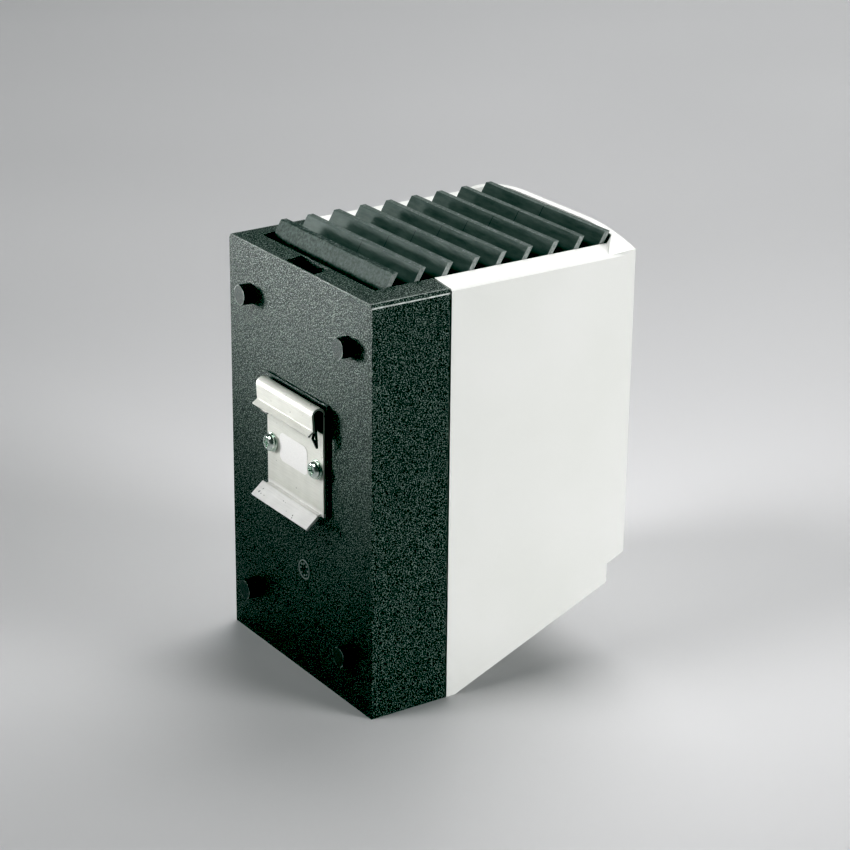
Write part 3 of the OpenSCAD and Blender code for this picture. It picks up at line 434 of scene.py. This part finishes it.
FINISHES = {
    "base_black": base_black(),
    "hood_grey": hood_grey(),
    "grille_black": grille_black(),
    "clip_steel": clip_steel(),
    "spring_wire": drawn_metal("spring_wire", *DARK_STEEL, 0.35, ALONG_X),
    "zinc_screw": plated("zinc_screw", *ZINC, 0.20, 1.6),
    "rubber_black": plain_plastic("rubber_black", *RUBBER, 0.75, 0.5, 0.3),
    "terminal_ivory": plain_plastic("terminal_ivory", *IVORY, 0.42, 0.6),
    "duct_black": plain_plastic("duct_black", *DUCT, 0.5, 0.7),
    "fan_black": plain_plastic("fan_black", *FAN, 0.35, 0.9),
    "stator_steel": drawn_metal("stator_steel", *CORE_STEEL, 0.38, LEVEL_SHEETS),
    "coil_copper": coil_copper(),
    "board_green": board_green(),
    "bearing_steel": plated("bearing_steel", *BEARING, 0.12, 2.5),
    "magnet_dark": plain_plastic("magnet_dark", *MAGNET, 0.6, 0.25, 0.6),
    "bar_aluminium": drawn_metal("bar_aluminium", *BAR, 0.34, ALONG_Y),
    "fin_aluminium": drawn_metal("fin_aluminium", *FIN, 0.26, ALONG_Z),
    "cap_ivory": plain_plastic("cap_ivory", *CAP, 0.6, 0.4),
    "tab_brass": plated("tab_brass", *BRASS, 0.25, 2.0),
    "cutout_brown": plain_plastic("cutout_brown", *BROWN, 0.38, 0.8),
    "lead_red": plain_plastic("lead_red", *RED, 0.42, 0.5),
    "lead_blue": plain_plastic("lead_blue", *BLUE, 0.42, 0.5),
}


# Soft edges on the CAD nodes, as modifiers

def shading_group():
    """Node group that shades smooth up to EDGE_ANGLE and sharp beyond it."""
    group = bpy.data.node_groups.new("shade_by_angle", "GeometryNodeTree")
    group.interface.new_socket("Geometry", in_out="INPUT", socket_type="NodeSocketGeometry")
    group.interface.new_socket("Geometry", in_out="OUTPUT", socket_type="NodeSocketGeometry")
    entry = group.nodes.new("NodeGroupInput")
    leave = group.nodes.new("NodeGroupOutput")
    normal = group.nodes.new("GeometryNodeSetMeshNormal")
    angle = group.nodes.new("GeometryNodeInputMeshEdgeAngle")
    sharp = group.nodes.new("FunctionNodeCompare")
    sharp.operation = "GREATER_THAN"
    sharp.inputs[1].default_value = EDGE_ANGLE
    group.links.new(entry.outputs[0], normal.inputs["Mesh"])
    group.links.new(angle.outputs["Unsigned Angle"], sharp.inputs[0])
    group.links.new(sharp.outputs["Result"], normal.inputs["Edge Sharpness"])
    group.links.new(normal.outputs["Mesh"], leave.inputs[0])
    return group


def soften(piece, width_mm, shading):
    """Joins the faces of a CAD node, rounds its sharp edges and shades it by angle."""
    weld = piece.modifiers.new("weld", "WELD")
    weld.merge_threshold = WELD
    flat = piece.modifiers.new("flat_faces", "DECIMATE")
    flat.decimate_type = "DISSOLVE"
    flat.angle_limit = FLAT_ANGLE
    bevel = piece.modifiers.new("soft_edges", "BEVEL")
    bevel.width = width_mm * MM
    bevel.segments = 2
    bevel.limit_method = "ANGLE"
    bevel.angle_limit = EDGE_ANGLE
    shade = piece.modifiers.new("shade", "NODES")
    shade.node_group = shading
    weighted = piece.modifiers.new("weighted_normals", "WEIGHTED_NORMAL")
    weighted.keep_sharp = True
    weighted.weight = 100


def dress_nodes():
    shading = shading_group()
    for name, piece in NODES.items():
        piece.material_slots[0].material = FINISHES[SLOTS[name]]
        if name in EDGES:
            soften(piece, EDGES[name], shading)


# Small trim

LABEL_SIZE = (20.0 * MM, 11.6 * MM)
LABEL_CORNER = 2.4 * MM
LABEL_T = 0.12 * MM
LABEL_AT = (1.0 * MM, 0.2 * MM)
MARK_AT = Vector((-3.0, REAR_FACE, -47.0)) * MM
MARK_R = 4.0 * MM
MARK_RIM = 0.45 * MM
MARK_H = 0.3 * MM
MARK_STEPS = 40
DOT_COUNT = 8
DOT_RING = 2.5 * MM
DOT_R = 0.4 * MM
DOT_STEPS = 12
CORNER_STEPS = 6
CORNERS = ((1, 1), (-1, 1), (-1, -1), (1, -1))


def circle(steps):
    """Angles of a full turn in even steps."""
    return [2 * math.pi * i / steps for i in range(steps)]


def band(bm, first, second):
    """Faces between two rings of as many points."""
    for i in range(len(first)):
        j = (i + 1) % len(first)
        bm.faces.new((first[i], first[j], second[j], second[i]))


def mesh_piece(name, build, material, body="housing"):
    """New piece from a function that fills a bmesh; it rides on a body."""
    mesh = bpy.data.meshes.new(name)
    bm = bmesh.new()
    build(bm)
    bmesh.ops.recalc_face_normals(bm, faces=bm.faces)
    bm.to_mesh(mesh)
    bm.free()
    mesh.materials.append(material)
    piece = bpy.data.objects.new(name, mesh)
    bpy.context.scene.collection.objects.link(piece)
    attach(piece, body)


def rounded_outline(width, height, radius):
    """Corner points of a rounded rectangle around the origin."""
    points = []
    for quarter, (side, level) in enumerate(CORNERS):
        for i in range(CORNER_STEPS + 1):
            turn = math.radians(90 * (quarter + i / CORNER_STEPS))
            x = (width / 2 - radius) * side + radius * math.cos(turn)
            z = (height / 2 - radius) * level + radius * math.sin(turn)
            points.append((x, z))
    return points


def label_white():
    """White paper with a faint fibre and a light gloss."""
    f = Finish("label_white", specular_ior_level=0.4)
    fibre = f.noise(0.5, detail=4.0, rough=0.65)
    f.colour(f.ramp(fibre, (0.3, (0.73, 0.73, 0.715)), (0.7, (0.79, 0.79, 0.78))))
    f.roughness(f.ramp(fibre, (0.3, 0.42), (0.7, 0.32)))
    f.bump(fibre, 0.01, 0.4)
    return f.material


def build_label(bm):
    """Bare sticker on the clip's plate, between the screws."""
    outline = rounded_outline(*LABEL_SIZE, LABEL_CORNER)
    under = [bm.verts.new((LABEL_AT[0] + x, 0.0, LABEL_AT[1] + z)) for x, z in outline]
    face = bm.faces.new(under)
    lifted = bmesh.ops.extrude_face_region(bm, geom=[face])["geom"]
    top = [item for item in lifted if isinstance(item, bmesh.types.BMVert)]
    bmesh.ops.translate(bm, verts=top, vec=(0.0, LABEL_T, 0.0))


def build_mark(bm):
    """Small raised ring with a circle of dots on the rear face, as moulds leave it."""
    inner = MARK_R - MARK_RIM
    rings = []
    for radius, height in ((MARK_R, 0.0), (MARK_R, MARK_H), (inner, MARK_H), (inner, 0.0)):
        points = [Vector((radius * math.cos(t), height, radius * math.sin(t))) for t in circle(MARK_STEPS)]
        rings.append([bm.verts.new(MARK_AT + point) for point in points])
    for first, second in zip(rings, rings[1:] + rings[:1]):
        band(bm, first, second)
    for turn in circle(DOT_COUNT):
        place = MARK_AT + Vector((DOT_RING * math.cos(turn), MARK_H / 2, DOT_RING * math.sin(turn)))
        upright = Matrix.Translation(place) @ Matrix.Rotation(math.radians(90), 4, "X")
        bmesh.ops.create_cone(bm, cap_ends=True, segments=DOT_STEPS, radius1=DOT_R, radius2=DOT_R,
                              depth=MARK_H, matrix=upright)


def add_trim():
    mesh_piece("clip_label", build_label, label_white())
    mesh_piece("mould_mark", build_mark, plain_plastic("mark_grey", *MARK, 0.45, 0.6))


# Stage, lights and camera

FLOOR_R = 1.7
BEND_R = 0.9
WALL_H = 2.4
RING_STEPS = 96
BEND_STEPS = 12
FLOOR_RINGS = (0.1, 0.3, 0.6)


def stage_pale():
    """Pale matt paper."""
    f = Finish("stage_pale", specular_ior_level=0.3)
    cloud = f.noise(420.0, detail=1.0)
    f.colour(f.ramp(cloud, (0.3, (0.60, 0.60, 0.605)), (0.7, (0.63, 0.63, 0.635))))
    f.roughness(f.ramp(cloud, (0.3, 0.40), (0.7, 0.46)))
    return f.material


def bowl_profile():
    """Radius and height of each ring of the stage, from the middle of the floor up to the wall's rim."""
    bends = [math.radians(90) * i / BEND_STEPS for i in range(BEND_STEPS + 1)]
    floor = [(FLOOR_R * share, 0.0) for share in FLOOR_RINGS]
    bend = [(FLOOR_R + BEND_R * math.sin(a), BEND_R * (1 - math.cos(a))) for a in bends]
    return floor + bend + [(FLOOR_R + BEND_R, WALL_H)]


def stage_bowl(floor_z):
    """Pale round floor that bends up into a wall on all sides."""
    bm = bmesh.new()
    rings = []
    for radius, height in bowl_profile():
        level = floor_z + height
        points = [(radius * math.cos(t), radius * math.sin(t), level) for t in circle(RING_STEPS)]
        rings.append([bm.verts.new(point) for point in points])
    bm.faces.new(rings[0])
    for inner, outer in zip(rings, rings[1:]):
        band(bm, outer, inner)
    for face in bm.faces:
        face.smooth = True
    mesh = bpy.data.meshes.new("stage_floor")
    bm.to_mesh(mesh)
    bm.free()
    mesh.materials.append(stage_pale())
    floor = bpy.data.objects.new("stage_floor", mesh)
    bpy.context.scene.collection.objects.link(floor)


def view_axes():
    """Right, up and back directions of the photograph's camera, without its roll."""
    azimuth, elevation = math.radians(VIEW_AZIMUTH), math.radians(VIEW_ELEVATION)
    back = Vector((math.sin(azimuth) * math.cos(elevation), -math.cos(azimuth) * math.cos(elevation),
                   math.sin(elevation)))
    right = Vector((0, 0, 1)).cross(back).normalized()
    return right, back.cross(right), back


def add_camera():
    right, up, back = view_axes()
    roll = math.radians(VIEW_ROLL)
    right, up = right * math.cos(roll) + up * math.sin(roll), up * math.cos(roll) - right * math.sin(roll)
    data = bpy.data.cameras.new("camera")
    data.lens = LENS
    data.sensor_width = SENSOR
    data.clip_start = 0.02
    camera = bpy.data.objects.new("camera", data)
    bpy.context.scene.collection.objects.link(camera)
    place = VIEW_CENTRE + right * VIEW_OFFSET[0] + up * VIEW_OFFSET[1] + back * VIEW_DISTANCE
    camera.matrix_world = Matrix.Translation(place) @ Matrix((right, up, back)).transposed().to_4x4()
    bpy.context.scene.camera = camera


WORLD_GREY = (0.55, 0.55, 0.56)
WORLD_STRENGTH = 0.2
GAMMA = 0.8
BLACK_LEVEL = (0.060, 0.048, 0.052)


def from_view(across, near, height):
    """Point given in metres to the right of the photograph's centre, towards its camera and up."""
    right, _, back = view_axes()
    level = Vector((back.x, back.y, 0.0)).normalized()
    return VIEW_CENTRE + right * across + level * near + Vector((0, 0, height))


def soft_light(name, place, aim, size, power, spread=180):
    """Round soft light at a place seen from the camera, aimed at another, with a spread in degrees."""
    data = bpy.data.lights.new(name, "AREA")
    data.shape = "DISK"
    data.size = size
    data.energy = power
    data.spread = math.radians(spread)
    light = bpy.data.objects.new(name, data)
    bpy.context.scene.collection.objects.link(light)
    light.location = from_view(*place)
    light.rotation_euler = (from_view(*place) - from_view(*aim)).to_track_quat("Z", "Y").to_euler()


def add_lights():
    soft_light("key", (1.40, 0.65, 0.55), (0.05, 0.0, 0.09), 0.9, 2.7, 52)
    soft_light("top", (0.4, -0.95, 1.3), (0.2, -0.8, 0.0), 1.4, 23.0)
    soft_light("fill", (-0.60, 0.22, 0.66), (-0.05, 0.0, 0.07), 0.4, 0.43, 48)
    soft_light("sheen", (-0.44, -0.11, 0.08), (-0.10, 0.02, 0.07), 0.16, 0.094, 20)


def add_world():
    world = bpy.data.worlds.new("studio")
    world.use_nodes = True
    shader = world.node_tree.nodes["Background"]
    shader.inputs["Color"].default_value = (*WORLD_GREY, 1.0)
    shader.inputs["Strength"].default_value = WORLD_STRENGTH
    bpy.context.scene.world = world


def set_print():
    """Deep blacks and plain tones, as in the photograph's print."""
    settings = bpy.context.scene.view_settings
    settings.view_transform = "Standard"
    settings.gamma = GAMMA
    settings.use_curve_mapping = True
    settings.curve_mapping.black_level = BLACK_LEVEL
    settings.curve_mapping.update()


add_camera()
dress_nodes()
add_trim()
stage_bowl(cad_box[0].z)
add_lights()
add_world()
set_print()
